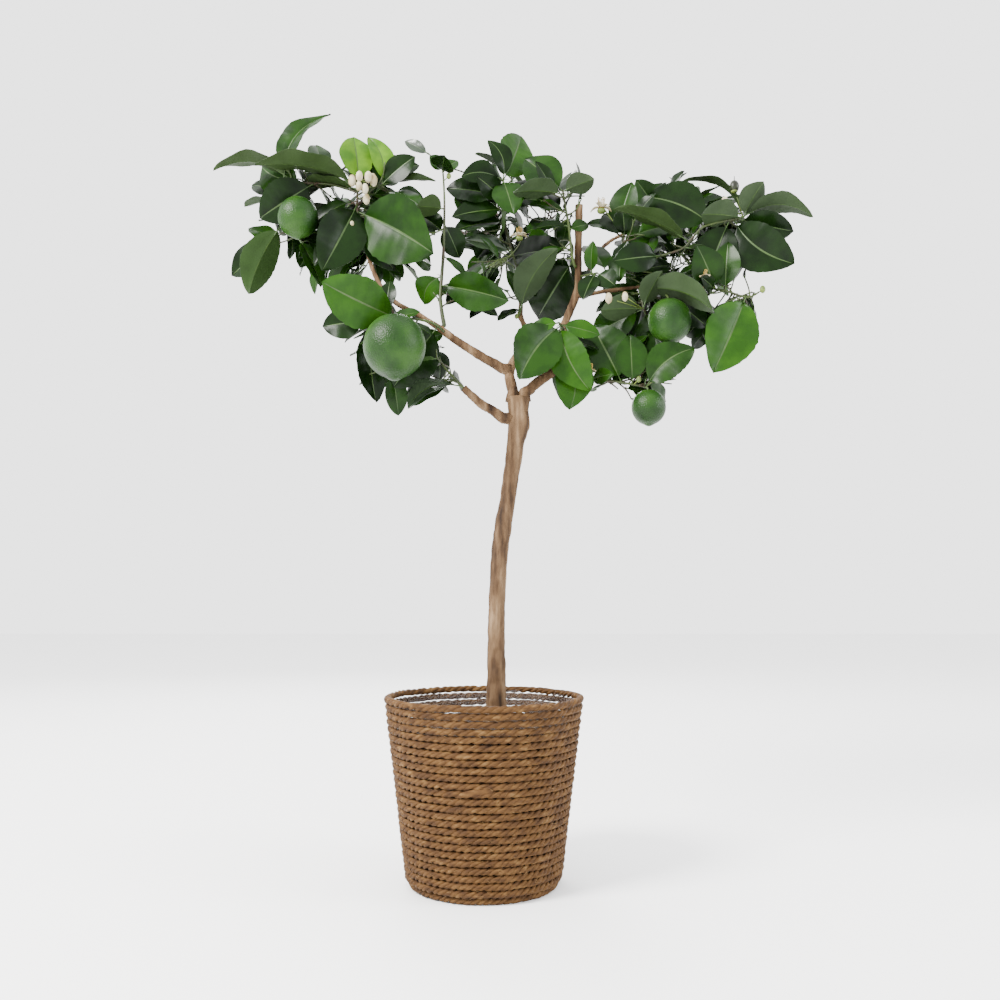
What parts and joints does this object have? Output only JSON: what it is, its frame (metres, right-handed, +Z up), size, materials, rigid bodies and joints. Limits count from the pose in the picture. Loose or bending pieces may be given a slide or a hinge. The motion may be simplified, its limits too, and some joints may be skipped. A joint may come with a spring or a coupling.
{
  "type": "potted persian lime tree",
  "caption": "Small fruiting lime tree with a forked trunk, open leafy crown, limes and blossom, standing in a round woven rope basket that serves as its pot.",
  "frame": {"origin": "middle of the basket's flat underside", "axes": "+Z up the tree, -Y towards the side that the picture shows, +X to its right"},
  "size_m": [0.6625, 0.3616, 0.8523],
  "materials": {
    "rope": "twisted seagrass rope",
    "liner": "thin pale film",
    "soil": "moist potting soil",
    "bark": "light brown bark",
    "foliage": "glossy green leaves, limes and blossom"
  },
  "bodies": {
    "root": {"basket": "rope", "liner": "liner", "soil": "soil", "trunk": "bark", "bough_left_low": "bark", "bough_centre": "bark", "bough_left_high": "bark", "bough_left_outer": "bark", "bough_right": "bark", "upright_stem": "bark", "bough_right_low": "bark", "bough_right_high": "bark", "bough_right_far": "bark", "bough_back": "bark", "bough_back_right": "bark", "foliage_left_top": "foliage", "foliage_left_fruit": "foliage", "foliage_left_low": "foliage", "foliage_left_upright": "foliage", "foliage_centre_top": "foliage", "foliage_upright": "foliage", "foliage_upright_right": "foliage", "foliage_centre_low": "foliage", "foliage_right_low": "foliage", "foliage_right_mid": "foliage", "foliage_right_top": "foliage", "foliage_right_hanging": "foliage", "foliage_back_left": "foliage", "foliage_back_centre": "foliage", "foliage_back_right": "foliage"}
  },
  "joints": []
}
